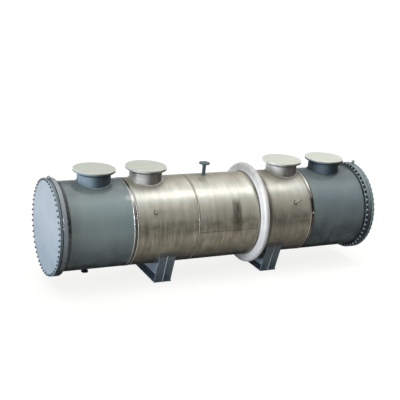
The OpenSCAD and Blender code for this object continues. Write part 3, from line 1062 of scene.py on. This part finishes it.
@dataclass
class RolledPlate:
    """A rolled plate of the shell or of a channel, slightly drawn in beside its welds and not quite even.

    Attributes:
        vessel: shared sizes.
        node: CAD node that the plate stands for.
        finish: finish of the plate.
        holes: station and radius of each upright hole, with a radius below 0 for one on the underside.
        side_holes: station, angle and radius of each radial hole on the front.
        weld_sink: how deep the plate is drawn in at its welds.
        weld_reach: how fast that fades.
        unevenness: how far the plate is out of round.
        sides: number of sides of the round.
        cutter_span: how far from the axis the rods that cut the holes start and end.
        cutter_sides: number of sides of those rods.
    """

    vessel: Vessel
    node: str
    finish: Finish
    holes: Sequence[tuple[float, float]] = ()
    side_holes: Sequence[tuple[float, float, float]] = ()
    weld_sink: float = 2.4 * MM
    weld_reach: float = 34 * MM
    unevenness: float = 0.7 * MM
    sides: int = 200
    cutter_span: Point = (0.3, 1.0)
    cutter_sides: int = 96

    def __post_init__(self) -> None:
        """Reads the plate's two ends from its node."""
        low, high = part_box(self.node)
        self.start, self.stop = low.x, high.x

    def outer_radius(self, x: np.ndarray, turn: np.ndarray) -> np.ndarray:
        """Gives the radius of the outer face.

        Args:
            x: stations, as a column.
            turn: angles around the axis, as a row.

        Returns:
            Radius for each station and angle.
        """
        chance = np.random.default_rng(SEED + sum(map(ord, self.node)))
        edge = np.minimum(x - self.start, self.stop - x)
        radius = self.vessel.radius - self.weld_sink * np.exp(-edge / self.weld_reach) + 0 * turn
        for around in (2, 3, 5, 7):
            along = 2 * math.pi / chance.uniform(0.35, 0.9)
            phase, shift = chance.uniform(0, 2 * math.pi, 2)
            wave = np.sin(around * turn + phase) * np.cos(along * x + shift)
            radius = radius + self.unevenness * 0.5 * wave
        return radius

    def build(self) -> None:
        """Makes the plate as a closed mesh, cuts its holes and puts it in the node's place."""
        # The stations lie close together beside the welds
        near = np.geomspace(5 * MM, 0.11, 8)
        even = np.linspace(self.start, self.stop, 30)
        x = np.unique(np.concatenate([even, self.start + near, self.stop - near]))
        turn = round_angles(self.sides)
        outer = self.outer_radius(x[:, None], turn[None, :])
        inner = np.full_like(outer, self.vessel.radius - self.vessel.wall)
        walls = []
        for radius in (outer, inner):
            across = np.broadcast_to(x[:, None], radius.shape)
            y, z = radius * np.cos(turn), self.vessel.axis_z + radius * np.sin(turn)
            walls.append(np.stack([across, y, z], axis=-1))
        grid = np.arange(outer.size).reshape(outer.shape)
        after = np.roll(grid, -1, axis=1)
        skin = np.stack([grid[:-1], after[:-1], after[1:], grid[1:]], axis=-1).reshape(-1, 4)
        ends = []
        for row, order in ((0, -1), (-1, 1)):
            rim = np.stack([grid[row], after[row], after[row] + outer.size, grid[row] + outer.size], axis=-1)
            ends.append(rim[:, ::order])
        mesh = bpy.data.meshes.new(self.node)
        faces = np.concatenate([skin, (outer.size + skin)[:, ::-1]] + ends)
        mesh.from_pydata(np.concatenate([wall.reshape(-1, 3) for wall in walls]).tolist(), [], faces.tolist())
        keep_piece(f"{self.node}_plate", self.cut_holes(mesh), self.finish, [self.node])

    def cut_holes(self, mesh: Mesh) -> Mesh:
        """Cuts the nozzles' and couplings' holes through the plate.

        Args:
            mesh: the whole plate.

        Returns:
            The plate with its holes.
        """
        rods = [(x, Vector((0, 0, math.copysign(1, radius))), abs(radius)) for x, radius in self.holes]
        for x, angle, radius in self.side_holes:
            rods.append((x, self.vessel.outward(angle), radius))
        holder = add_object("plate", mesh)
        cutters = []
        for x, direction, radius in rods:
            foot = self.vessel.foot + Vector((x, 0, 0))
            rod = turned(disc(radius, *self.cutter_span, 0.1 * MM), self.cutter_sides, foot, direction)
            cutters.append(add_object("cutter", rod))
            cut = holder.modifiers.new("hole", "BOOLEAN")
            cut.operation, cut.solver, cut.object = "DIFFERENCE", "EXACT", cutters[-1]
        result = plain_mesh(holder)
        for spare in cutters + [holder]:
            bpy.data.objects.remove(spare)
        return result


@dataclass
class ChannelEnd:
    """One channel with its flange, gasket, bolted cover, lifting lug and welds.

    Attributes:
        vessel: shared sizes.
        end: which end of the vessel it is.
        paint: finish of the channel's plate.
        ring: finish of its flange.
        bolts: finish of its studs and nuts.
        grime: how far the painted shade beside the flange reaches.
        studs: ring of the cover's studs.
        facing_step: height of the raised faces that hold the gasket.
        chamfer: width of the broken edges.
        sides: number of sides of the cover and the flange.
        bead_mm: radius of the bead behind the flange.
    """

    vessel: Vessel
    end: End
    paint: Finish
    ring: Finish
    bolts: Finish
    grime: float = 62 * MM
    studs: StudRing = StudRing(52, 748 * MM, 10 * MM, 16 * MM, 15 * MM)
    facing_step: float = 6 * MM
    chamfer: float = 3 * MM
    sides: int = 180
    bead_mm: float = 8

    def node(self, part: str) -> str:
        """Gives the name of one of this end's nodes or pieces."""
        return f"{self.end.word}_{part}"

    def far(self, part: str) -> tuple[float, float]:
        """Gives the near and far station of one of this end's nodes, as distances from the middle."""
        low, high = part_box(self.node(part))
        return tuple(sorted((abs(low.x), abs(high.x))))

    def rim(self, part: str) -> float:
        """Gives the outer radius of one of this end's round nodes."""
        low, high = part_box(self.node(part))
        return (high.y - low.y) / 2

    def build(self) -> None:
        """Builds the plate, the cover and flange, the studs and the weld, and dresses the rest."""
        self.build_plate()
        self.build_cover()
        near, far = self.far("channel_flange")[0], self.far("channel_cover")[1]
        self.vessel.set_studs(self.node("cover_studs"), self.studs, far - near, self.bolts,
                              Centre=(self.end.value * (near + far) / 2, 0.0, self.vessel.axis_z),
                              Turn=(0.0, math.pi / 2, 0.0), Seed=SEED + self.end.value)
        fillet = self.vessel.girth(self.end.value * (near - 2 * MM), self.vessel.radius)
        self.vessel.lay_welds(self.node("flange_weld"), [fillet], self.bead_mm, self.paint)
        dress_node(self.node("cover_gasket"), GASKET_FIBRE)
        dress_node(self.node("lifting_lug"), CHANNEL_PAINT)

    def build_plate(self) -> None:
        """Builds the channel's rolled plate with the holes under its nozzle and drain."""
        holes = [(middle_x(self.node("water_neck")), self.vessel.nozzle_bore)]
        if self.end is End.LEFT:
            holes.append((middle_x("drain_neck"), -self.vessel.drain_bore))
        # The plate's paint gets painted shade beside the flange and a darker crown
        paint = replace(self.paint, name=f"{self.paint.name}_by_flange", crown=0.6,
                        corner=self.far("channel_flange")[0] - self.grime)
        RolledPlate(self.vessel, self.node("channel"), paint, holes).build()

    def build_cover(self) -> None:
        """Turns the cover and the flange ring, with broken edges."""
        rim, facing = self.rim("channel_cover"), self.rim("cover_gasket")
        near, far = self.far("channel_cover")
        cover = [(0, near), (facing, near), (facing, near + self.facing_step)]
        cover += disc(rim, near + self.facing_step, far, self.chamfer)[1:]
        near, far = self.far("channel_flange")
        bore = self.vessel.radius - self.vessel.wall
        ring = disc(rim, near, far - self.facing_step, self.chamfer, bore)[:-1]
        ring += [(facing, far - self.facing_step), (facing, far), (bore, far)]
        for piece, section, finish, node in (("cover_plate", cover, COVER_PAINT, "channel_cover"),
                                             ("flange_ring", ring, self.ring, "channel_flange")):
            mesh = turned(section, self.sides, self.vessel.foot, (self.end.value, 0, 0))
            keep_piece(self.node(piece), mesh, finish, [self.node(node)])


@dataclass
class Shell:
    """The stainless middle of the vessel: three courses, the bellows, both tube sheets and their welds.

    Attributes:
        vessel: shared sizes.
        seam_angles: angle of each course's long weld, above the horizontal on the front.
        coupling_bore: radius of the holes under the instrument couplings.
        crest_radius: outer radius of the bellows' crest.
        root_radius: outer radius of its roots.
        bellows_wall: thickness of its sheet.
        bellows_sides: number of sides of its round.
        weld_depth: how deep the middle of a weld bead lies under the plate's face.
        seam_gap: how far the long welds stop short of the round ones.
        plugs: station and angle of the plug on each tube sheet's rim.
        stain: low and high corners of the old stain on the middle course.
        shade_reach: reach of the painted shadow on the right course beside the bellows.
    """

    vessel: Vessel
    seam_angles: Spot = (150.0, -3.0, 165.0)
    coupling_bore: float = 13 * MM
    crest_radius: float = 50 * MM
    root_radius: float = 30 * MM
    bellows_wall: float = 8 * MM
    bellows_sides: int = 240
    weld_depth: float = 3 * MM
    seam_gap: float = 8 * MM
    plugs: Sequence[Point] = ((-1.592, 23.0), (1.606, 12.0))
    stain: tuple[Spot, Spot] = ((0.065, -0.95, 0.8), (0.25, -0.3, 1.43))
    shade_reach: float = 115 * MM

    def __post_init__(self) -> None:
        """Reads the boxes of the three courses."""
        words = ("left", "middle", "right")
        self.left, self.middle, self.right = (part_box(f"{word}_shell_course") for word in words)

    def build(self) -> None:
        """Builds the courses, the welds, the plugs and the bellows, and dresses the tube sheets."""
        self.build_courses()
        self.build_welds()
        self.build_plugs()
        for end, rim in ((End.LEFT, SHEET_RIM), (End.RIGHT, BRIGHT_RIM)):
            dress_node(f"{end.word}_tube_sheet", replace(rim, name=f"turned_{end.word}_sheet_rim",
                                                         seams=(self.left[0].x, self.right[1].x)))
        self.build_bellows()

    def build_bellows(self) -> None:
        """Turns the bellows' single wave, with round crest and roots."""
        low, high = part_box("expansion_bellows")
        middle, half = middle_x("expansion_bellows"), (high.x - low.x) / 2
        crest_at, root_at = (high.z - low.z) / 2 - self.crest_radius, self.vessel.radius + self.root_radius
        section: list[Point] = []
        for inset, order in ((0.0, 1), (self.bellows_wall, -1)):
            root, crest = self.root_radius + inset, self.crest_radius - inset
            wave = [(root_at - root * math.cos(a), -self.crest_radius - self.root_radius + root * math.sin(a))
                    for a in np.linspace(0, math.pi / 2, 10)]
            wave += [(crest_at + crest * math.sin(a), -crest * math.cos(a))
                     for a in np.linspace(0, math.pi / 2, 16)]
            left = [(root_at - root, -half)] + wave
            right = [(radius, -height) for radius, height in left[-2::-1]]
            section += (left + right)[::order]
        mesh = turned(section, self.bellows_sides, self.vessel.foot + Vector((middle, 0, 0)), (1, 0, 0))
        keep_piece("bellows_wave", mesh, replace(PICKLED_SHEET, middle=middle), ["expansion_bellows"])

    def build_courses(self) -> None:
        """Builds the three rolled courses with their holes."""
        shaded = replace(DUSTY_COURSE, shade=(self.right[0].x, self.shade_reach))
        for word, (low, high), plate in (("left", self.left, COURSE_PLATE), ("right", self.right, shaded)):
            finish = replace(plate, name=f"rolled_stainless_{word}_course", seams=(low.x, high.x))
            tap = (middle_x(f"{word}_instrument_coupling"), self.vessel.coupling_angle, self.coupling_bore)
            RolledPlate(self.vessel, f"{word}_shell_course", finish,
                        [(middle_x(f"{word}_acid_neck"), self.vessel.nozzle_bore)], [tap]).build()
        low, high = self.middle
        finish = replace(COURSE_PLATE, name="rolled_stainless_middle_course", seams=(low.x, high.x),
                         stain=self.stain)
        vent = (middle_x("vent_neck"), self.vessel.vent_bore)
        RolledPlate(self.vessel, "middle_shell_course", finish, [vent]).build()

    def build_welds(self) -> None:
        """Lays the round welds and the long welds of the courses."""
        inside = self.vessel.radius - self.weld_depth
        # The two welds of the bellows lie on the courses, just clear of its roots
        rounds = [self.middle[0].x, self.middle[1].x - 3 * MM, self.right[0].x + 3 * MM, self.right[1].x]
        for name, stations, bead_mm, finish in (
                ("round_welds", rounds, 5.5, STAINLESS_WELD),
                ("left_sheet_weld", [self.left[0].x], 7, BRUSHED_WELD),
                ("left_channel_joint_weld", [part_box("left_tube_sheet")[0].x], 8, TURNED_STAINLESS),
                ("right_channel_joint_weld", [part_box("right_tube_sheet")[1].x], 8, FLUSH_WELD)):
            self.vessel.lay_welds(name, [self.vessel.girth(x, inside) for x in stations], bead_mm, finish)
        long = []
        for (low, high), angle in zip((self.left, self.middle, self.right), self.seam_angles):
            stops = np.linspace(low.x + self.seam_gap, high.x - self.seam_gap, 40)
            long.append((self.vessel.line(stops, angle, inside), False))
        self.vessel.lay_welds("long_welds", long, 5, FLUSH_WELD)

    def build_plugs(self) -> None:
        """Screws a hexagonal plug into the rim of each tube sheet."""
        for end, (x, angle) in zip(End, self.plugs):
            out = self.vessel.outward(angle)
            foot = self.vessel.line(x, angle, self.vessel.radius - 2 * MM)
            for part, sides, section in (("plug_seat", 32, disc(16 * MM, 0, 9 * MM, 1.5 * MM)),
                                         ("plug", 6, disc(12 * MM, 8 * MM, 22 * MM, 2 * MM))):
                keep_piece(f"{end.word}_vent_{part}", turned(section, sides, foot, out), TURNED_STAINLESS)


@dataclass
class TopNozzle:
    """One large nozzle: its pipe, ring flange and blank, with the welds that hold them.

    Attributes:
        vessel: shared sizes.
        word: first words of its nodes' names.
        pipe: finish of its pipe and flange.
        weld: finish of its foot's weld.
        lee: how far towards the lit side the painted shade on the pipe reaches.
        chamfer: width of the broken edges.
        sides: number of sides of the flange and the blank.
        foot_bead_mm: radius of the bead around the pipe's foot.
        collar_bead_mm: radius of the bead under the flange.
    """

    vessel: Vessel
    word: str
    pipe: PipeWeather
    weld: Finish
    lee: float = 0.0
    chamfer: float = 3.5 * MM
    sides: int = 128
    foot_bead_mm: float = 12
    collar_bead_mm: float = 7

    def build(self) -> None:
        """Turns the flange and the blank, lays the welds and dresses the pipe."""
        low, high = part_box(f"{self.word}_neck")
        x, pipe_r = middle_x(f"{self.word}_neck"), (high.x - low.x) / 2
        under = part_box(f"{self.word}_flange")[0].z
        pipe = self.pipe.at(self.word, x - self.lee, under)
        dress_node(f"{self.word}_neck", pipe)
        turn_plate(f"{self.word}_flange", pipe, self.sides, self.chamfer, self.vessel.nozzle_bore)
        turn_plate(f"{self.word}_blank", BLANK_PLATE, self.sides, self.chamfer)
        foot = self.vessel.pipe_foot(x, pipe_r + 5 * MM, 2 * MM)
        self.vessel.lay_welds(f"{self.word}_foot_weld", [foot], self.foot_bead_mm, self.weld)
        turn = round_angles(120)
        rim = np.broadcast_arrays(x + pipe_r * np.cos(turn), pipe_r * np.sin(turn), under)
        collar = (np.stack(rim, axis=-1), True)
        self.vessel.lay_welds(f"{self.word}_collar_weld", [collar], self.collar_bead_mm, pipe)


@dataclass
class SmallNozzle:
    """The vent or the drain: a pipe with a bolted flange and blank.

    Attributes:
        vessel: shared sizes.
        word: first word of its nodes' names.
        up: 1 where it stands on the vessel, -1 where it hangs below.
        bore: radius of the pipe's bore.
        circle: radius of the bolt circle.
        paint: finish of the pipe, the flange and the blank.
        stud: radius of the bolts.
        chamfer: width of the broken edges.
        sides: number of sides of the flange and the blank.
        bead_mm: radius of the bead around the pipe's foot.
    """

    vessel: Vessel
    word: str
    up: int
    bore: float
    circle: float
    paint: Finish
    stud: float = 6 * MM
    chamfer: float = 1.5 * MM
    sides: int = 64
    bead_mm: float = 5

    def build(self) -> None:
        """Turns the flange and the blank, sets the bolts, lays the weld and dresses the pipe."""
        low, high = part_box(f"{self.word}_neck")
        x, pipe_r = middle_x(f"{self.word}_neck"), (high.x - low.x) / 2
        dress_node(f"{self.word}_neck", self.paint)
        heights = []
        for part, bore in (("flange", self.bore), ("blank", 0.0)):
            turn_plate(f"{self.word}_{part}", self.paint, self.sides, self.chamfer, bore)
            heights += [corner.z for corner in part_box(f"{self.word}_{part}")]
        bottom, top = min(heights), max(heights)
        bolts = StudRing(4, self.circle, self.stud, 1.73 * self.stud, 1.3 * self.stud)
        self.vessel.set_studs(f"{self.word}_bolts", bolts, top - bottom, BOLT_STEEL,
                              Centre=(x, 0.0, (bottom + top) / 2), Seed=SEED)
        ring, closed = self.vessel.pipe_foot(x, pipe_r, 1 * MM)
        ring[:, 2] = self.vessel.axis_z + self.up * (ring[:, 2] - self.vessel.axis_z)
        self.vessel.lay_welds(f"{self.word}_weld", [(ring, closed)], self.bead_mm, self.paint)


@dataclass
class Coupling:
    """One instrument coupling with its collar weld.

    Attributes:
        vessel: shared sizes.
        end: end of the vessel whose course carries it.
        collar: radius of the weld around it.
        bead_mm: radius of the weld's bead.
    """

    vessel: Vessel
    end: End
    collar: float = 33 * MM
    bead_mm: float = 8

    def build(self) -> None:
        """Dresses the coupling and lays the weld around its foot."""
        node = f"{self.end.word}_instrument_coupling"
        dress_node(node, FITTING_STEEL)
        turn = round_angles(40)
        around = self.vessel.coupling_angle + np.degrees(self.collar * np.sin(turn) / self.vessel.radius)
        ring = self.vessel.line(middle_x(node) + self.collar * np.cos(turn), around, self.vessel.radius)
        # The dark weld around the fitting's foot also paints its contact shadow
        self.vessel.lay_welds(f"{self.end.word}_coupling_weld", [(ring, True)], self.bead_mm, FLUSH_WELD)


@dataclass
class Saddle:
    """One saddle: base plate, web, ribs and wear plate, with its fillet welds.

    Attributes:
        vessel: shared sizes.
        end: which saddle it is.
        web_weld: half of the length of the weld between the web and the base.
        bead_mm: radius of the fillet welds.
    """

    vessel: Vessel
    end: End
    web_weld: float = 0.36
    bead_mm: float = 5

    def build(self) -> None:
        """Dresses the four plates and lays the welds between them and on the shell."""
        start = f"{self.end.word}_saddle"
        plates = {"base": SADDLE_PAINT, "wear_plate": PRIMER, "ribs": RIB_PAINT, "web": WEB_PAINT}
        for part, finish in plates.items():
            dress_node(f"{start}_{part}", finish)
        low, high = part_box(f"{start}_wear_plate")
        wrap = math.degrees(math.acos((self.vessel.axis_z - high.z) / self.vessel.radius))
        sweep = np.linspace(-90 - wrap, -90 + wrap, 60)
        stops = np.linspace(low.x, high.x, 20)
        reach = self.vessel.radius + 4 * MM
        paths = [(self.vessel.line(x, sweep, reach), False) for x in (low.x, high.x)]
        paths += [(self.vessel.line(stops, angle, reach), False) for angle in sweep[[0, -1]]]
        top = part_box(f"{start}_base")[1].z
        run = np.linspace(-self.web_weld, self.web_weld, 30)
        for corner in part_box(f"{start}_web"):
            paths.append((np.stack(np.broadcast_arrays(corner.x, run, top), axis=-1), False))
        self.vessel.lay_welds(f"{start}_welds", paths, self.bead_mm, SADDLE_PAINT)


@dataclass
class Studio:
    """Floor, light and camera.

    Attributes:
        eye: place of the camera.
        target: point it looks at.
        roll: how far it leans, in degrees.
        lens: focal length in millimetres.
        floor_half: half of the floor's width.
        sky_low: strength of the sky at the horizon.
        sky_high: strength of the sky overhead.
        bright_side: way to the brightest part of the horizon.
        side_share: how much brighter it is there, and dimmer opposite.
        mirrored: how much of the white paper near the horizon metal shows.
        floor_glow: share of the floor that the camera sees as plain white.
    """

    eye: Spot = (-6.4560, -12.3981, 5.5732)
    target: Spot = (-0.2036, 0.0, 1.2214)
    roll: float = 4.655
    lens: float = 78.49
    floor_half: float = 300.0
    sky_low: float = 0.1
    sky_high: float = 1.62
    bright_side: Spot = (-0.7, 0.7, 0.0)
    side_share: float = 0.4
    mirrored: float = 0.3
    floor_glow: float = 0.79

    def build(self) -> None:
        """Sets up the whole studio."""
        bpy.context.scene.view_settings.view_transform = "Standard"
        self.build_world()
        self.build_floor()
        self.build_lamps()
        self.build_camera()

    def start(self, owner: bpy.types.World | bpy.types.Material) -> tuple[Tree, Outputs, Socket]:
        """Starts the nodes of the world or of the floor's material.

        Args:
            owner: the world or the material.

        Returns:
            Its node tree, the kinds of rays, and a socket that is 1 for rays by which metal or glass sees.
        """
        owner.use_nodes = True
        tree = owner.node_tree
        tree.nodes.clear()
        ray = add_node(tree, "ShaderNodeLightPath")
        kinds = {0: ray["Is Glossy Ray"], 1: ray["Is Transmission Ray"]}
        return tree, ray, add_node(tree, "ShaderNodeMath", kinds, operation="ADD", use_clamp=True)[0]

    def build_world(self) -> None:
        """Makes a soft sky, bright overhead and behind the object, and dim to the right of the camera."""
        world = bpy.data.worlds.new("soft_sky")
        bpy.context.scene.world = world
        tree, ray, in_metal = self.start(world)
        way = add_node(tree, "ShaderNodeTexCoord")["Generated"]
        height = add_node(tree, "ShaderNodeSeparateXYZ", {0: way})[2]
        # Each range goes from two heights to the two values there
        ranges = ((0.4, 0.9, self.sky_low, self.sky_high), (0.3, 0.4, 1.0, 0.0))
        level, low = (add_node(tree, "ShaderNodeMapRange", dict(enumerate([height, *ends])))[0]
                      for ends in ranges)
        ways = {0: way, 1: self.bright_side}
        side = add_node(tree, "ShaderNodeVectorMath", ways, operation="DOT_PRODUCT")["Value"]
        share = {0: side, 1: self.side_share, 2: 1.0}
        lean = add_node(tree, "ShaderNodeMath", share, operation="MULTIPLY_ADD")[0]
        # Near the horizon the camera sees white paper, and metal shows it too, dimmer
        rays = {0: in_metal, 1: self.mirrored, 2: ray["Is Camera Ray"]}
        seen = add_node(tree, "ShaderNodeMath", rays, operation="MULTIPLY_ADD")[0]
        either = {0: product(tree, [level, lean]), 1: product(tree, [seen, low])}
        shown = add_node(tree, "ShaderNodeMath", either, operation="MAXIMUM")[0]
        sky = add_node(tree, "ShaderNodeBackground", {"Color": linear("#F7FAFF"), "Strength": shown})[0]
        add_node(tree, "ShaderNodeOutputWorld", {"Surface": sky})

    def build_floor(self) -> None:
        """Lays a white floor that keeps the object's shadow and throws little light back up."""
        half = self.floor_half
        mesh = bpy.data.meshes.new("studio_floor")
        corners = [(-half, -half, 0), (half, -half, 0), (half, half, 0), (-half, half, 0)]
        mesh.from_pydata(corners, [], [(0, 1, 2, 3)])
        paper = bpy.data.materials.new("white_studio_paper")
        tree, ray, in_metal = self.start(paper)
        rays = {0: ray["Is Camera Ray"], 1: in_metal}
        seen = add_node(tree, "ShaderNodeMath", rays, operation="ADD", use_clamp=True)[0]
        tones = {0: seen, 6: linear("#6E6E6C"), 7: linear("#F4F4F0")}
        tone = add_node(tree, "ShaderNodeMix", tones, data_type="RGBA")[2]
        matt = add_node(tree, "ShaderNodeBsdfDiffuse", {"Color": tone})[0]
        glow = add_node(tree, "ShaderNodeEmission", {"Color": linear("#FEFEFB"), "Strength": 1.08})[0]
        share = product(tree, [ray["Is Camera Ray"], self.floor_glow])
        both = add_node(tree, "ShaderNodeMixShader", {0: share, 1: matt, 2: glow})[0]
        add_node(tree, "ShaderNodeOutputMaterial", {"Surface": both})
        mesh.materials.append(paper)
        add_object("studio_floor", mesh)

    def build_lamps(self) -> None:
        """Hangs a long soft box overhead and sets broad low glows to the left and behind the right end."""
        overhead = bpy.data.lights.new("overhead_box", "AREA")
        overhead.shape = "RECTANGLE"
        overhead.size, overhead.size_y = 3.8, 1.2
        self.add_lamp(overhead, (2.0, -1.1, 6.0), (2.0, -0.9, 0.0), 82.0, "#FFFDF6")
        glows = {"left_glow": ((-9.7, -1.7, 1.42), 4.8), "back_glow": ((8.0, 5.7, 3.5), 0.8)}
        for name, (place, strength) in glows.items():
            glow = bpy.data.lights.new(name, "SUN")
            glow.angle = math.radians(24)
            self.add_lamp(glow, place, (0.0, 0.0, 0.9), strength, "#E6EEFF")

    def add_lamp(self, lamp: bpy.types.Light, place: Spot, target: Spot, power: float, tint: str) -> None:
        """Puts one lamp into the scene, out of the camera's sight.

        Args:
            lamp: the lamp, with its shape set.
            place: where it hangs.
            target: point that it faces.
            power: watts of a box, or watts per square metre of a glow.
            tint: colour of its light.
        """
        lamp.energy = power
        lamp.color = linear(tint)[:3]
        stand = add_object(lamp.name, lamp)
        stand.location = place
        stand.rotation_euler = (Vector(target) - Vector(place)).to_track_quat("-Z", "Y").to_euler()
        stand.visible_camera = False

    def build_camera(self) -> None:
        """Puts the camera where the photograph was taken from."""
        camera = bpy.data.cameras.new("camera")
        camera.lens = self.lens
        camera.clip_end = 4 * self.floor_half
        forward = (Vector(self.target) - Vector(self.eye)).normalized()
        level = forward.cross(Vector((0, 0, 1))).normalized()
        upright = level.cross(forward)
        lean = math.radians(self.roll)
        right = math.cos(lean) * level + math.sin(lean) * upright
        up = math.cos(lean) * upright - math.sin(lean) * level
        turn = Matrix((right, up, -forward)).transposed().to_4x4()
        eye = add_object("camera", camera)
        eye.matrix_world = Matrix.Translation(self.eye) @ turn
        bpy.context.scene.camera = eye


def main() -> None:
    """Builds every sub-assembly in order, then the studio."""
    logging.basicConfig(level=logging.INFO, format="%(name)s: %(message)s")
    vessel = Vessel.from_frame()
    ChannelEnd(vessel, End.LEFT, CHANNEL_PAINT, RING_PAINT, BOLT_STEEL).build()
    ChannelEnd(vessel, End.RIGHT, DUSTY_PAINT, DUSTY_RING, ZINC_BOLTS, grime=38 * MM).build()
    Shell(vessel).build()
    for end, water_pipe, lee in ((End.LEFT, PIPE_PAINT, 0.0), (End.RIGHT, DUSTY_PIPE, 50 * MM)):
        TopNozzle(vessel, f"{end.word}_water", water_pipe, PIPE_WELD).build()
        TopNozzle(vessel, f"{end.word}_acid", GROUND_PIPE, BRUSHED_WELD, lee).build()
        Coupling(vessel, end).build()
        Saddle(vessel, end).build()
    SmallNozzle(vessel, "vent", 1, vessel.vent_bore, 66 * MM, VENT_PAINT).build()
    SmallNozzle(vessel, "drain", -1, vessel.drain_bore, 42 * MM, CHANNEL_PAINT).build()
    Studio().build()


if __name__ == "__main__":
    main()
